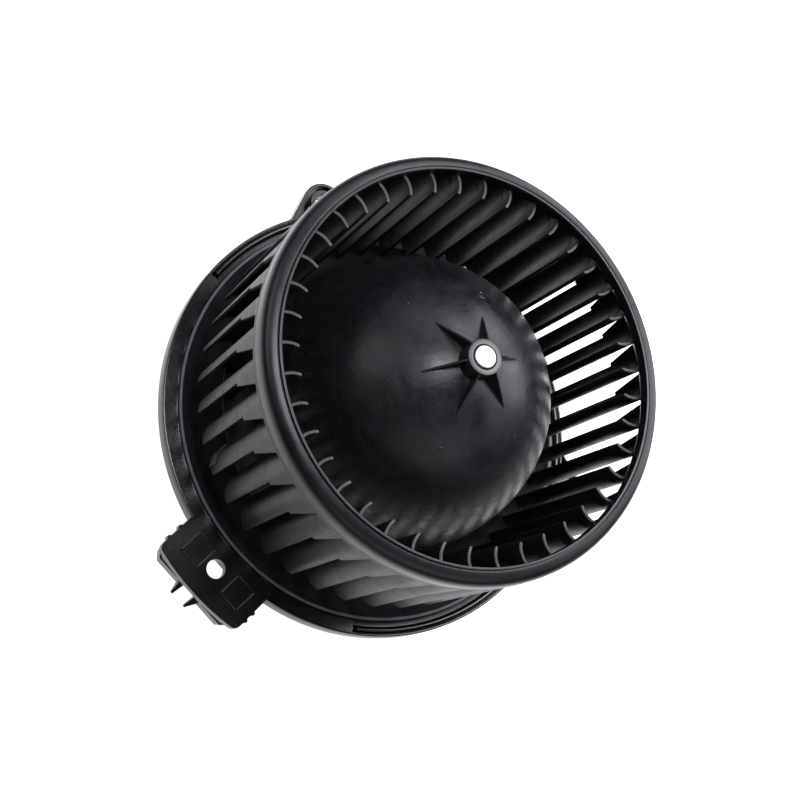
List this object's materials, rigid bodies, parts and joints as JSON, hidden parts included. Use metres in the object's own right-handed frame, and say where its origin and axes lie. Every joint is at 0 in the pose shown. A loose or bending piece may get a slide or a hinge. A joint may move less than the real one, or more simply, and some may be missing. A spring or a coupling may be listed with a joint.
{
  "type": "blower motor and wheel",
  "caption": "Cabin blower: a squirrel-cage fan wheel on a domed hub, turned by a brushed motor held in a round eared mounting flange.",
  "frame": {"origin": "motor axis at the plane of the three ears' seating faces", "axes": "+Z along the motor axis towards the wheel's open end, -Y towards the wide ear"},
  "size_m": [0.1702, 0.1878, 0.1214],
  "materials": {
    "wheel_plastic": "satin black injection-moulded polypropylene",
    "flange_plastic": "matt black glass-filled moulding",
    "cover_plastic": "fine-grained black moulding",
    "shaft_steel": "ground bright steel",
    "can_steel": "zinc-plated drawn steel",
    "core_steel": "stacked laminations",
    "spring_steel": "bright spring steel",
    "screw_steel": "zinc-plated",
    "copper": "enamelled copper wire",
    "commutator_copper": "turned copper",
    "bronze": "oil-filled sintered bronze",
    "brass": "stamped brass",
    "magnet_ferrite": "ground ferrite",
    "carbon": "pressed carbon graphite",
    "phenolic": "moulded phenolic",
    "card_plastic": "glass-filled nylon",
    "capacitor_resin": "dipped resin",
    "rubber": "soft black rubber",
    "felt": "oil-soaked wool felt",
    "nylon": "natural nylon"
  },
  "bodies": {
    "stator": {"mounting_flange": "flange_plastic", "motor_can": "can_steel", "front_isolator": "rubber", "rear_isolator": "rubber", "field_magnet_left": "magnet_ferrite", "field_magnet_right": "magnet_ferrite", "magnet_clips": "spring_steel", "front_bearing": "bronze", "front_oil_felt": "felt", "front_bearing_retainer": "spring_steel", "end_plate": "can_steel", "rear_bearing": "bronze", "brush_card": "card_plastic", "brush_holders": "brass", "choke_cores": "magnet_ferrite", "choke_windings": "copper", "suppression_capacitor": "capacitor_resin", "terminal_blades": "brass", "connector_housing": "cover_plastic", "rear_cover": "cover_plastic", "cover_screws": "screw_steel"},
    "rotor": {"fan_wheel": "wheel_plastic", "balance_clip": "spring_steel", "motor_shaft": "shaft_steel", "armature_core": "core_steel", "armature_windings": "copper", "commutator_hub": "phenolic", "commutator_bars": "commutator_copper", "front_thrust_washer": "nylon", "rear_thrust_washer": "nylon"},
    "left_brush": {"brush_left": "carbon"},
    "right_brush": {"brush_right": "carbon"},
    "left_spring": {"brush_spring_left": "spring_steel"},
    "right_spring": {"brush_spring_right": "spring_steel"}
  },
  "joints": [
    {"name": "wheel_spin", "type": "hinge", "parent": "stator", "child": "rotor", "pos_m": [0, 0, 0], "axis": [0, 0, 1], "continuous": true},
    {"name": "right_brush_slide", "type": "slide", "parent": "stator", "child": "right_brush", "axis": [1, 0, 0], "range_m": [0, 0.003], "stiffness_N_per_m": 300, "springref_m": -0.01},
    {"name": "left_brush_slide", "type": "slide", "parent": "stator", "child": "left_brush", "axis": [-1, 0, 0], "range_m": [0, 0.003], "stiffness_N_per_m": 300, "springref_m": -0.01},
    {"name": "right_spring_swing", "type": "hinge", "parent": "stator", "child": "right_spring", "pos_m": [0.02486, -0.01, -0.0056], "axis": [0, 0, -1], "range_deg": [0, 17.3]},
    {"name": "left_spring_swing", "type": "hinge", "parent": "stator", "child": "left_spring", "pos_m": [-0.02486, 0.01, -0.0056], "axis": [0, 0, -1], "range_deg": [0, 17.3]}
  ],
  "couplings": [
    {"joint": "right_spring_swing", "follows": "right_brush_slide", "rad_per_m": 100},
    {"joint": "left_spring_swing", "follows": "left_brush_slide", "rad_per_m": 100}
  ]
}
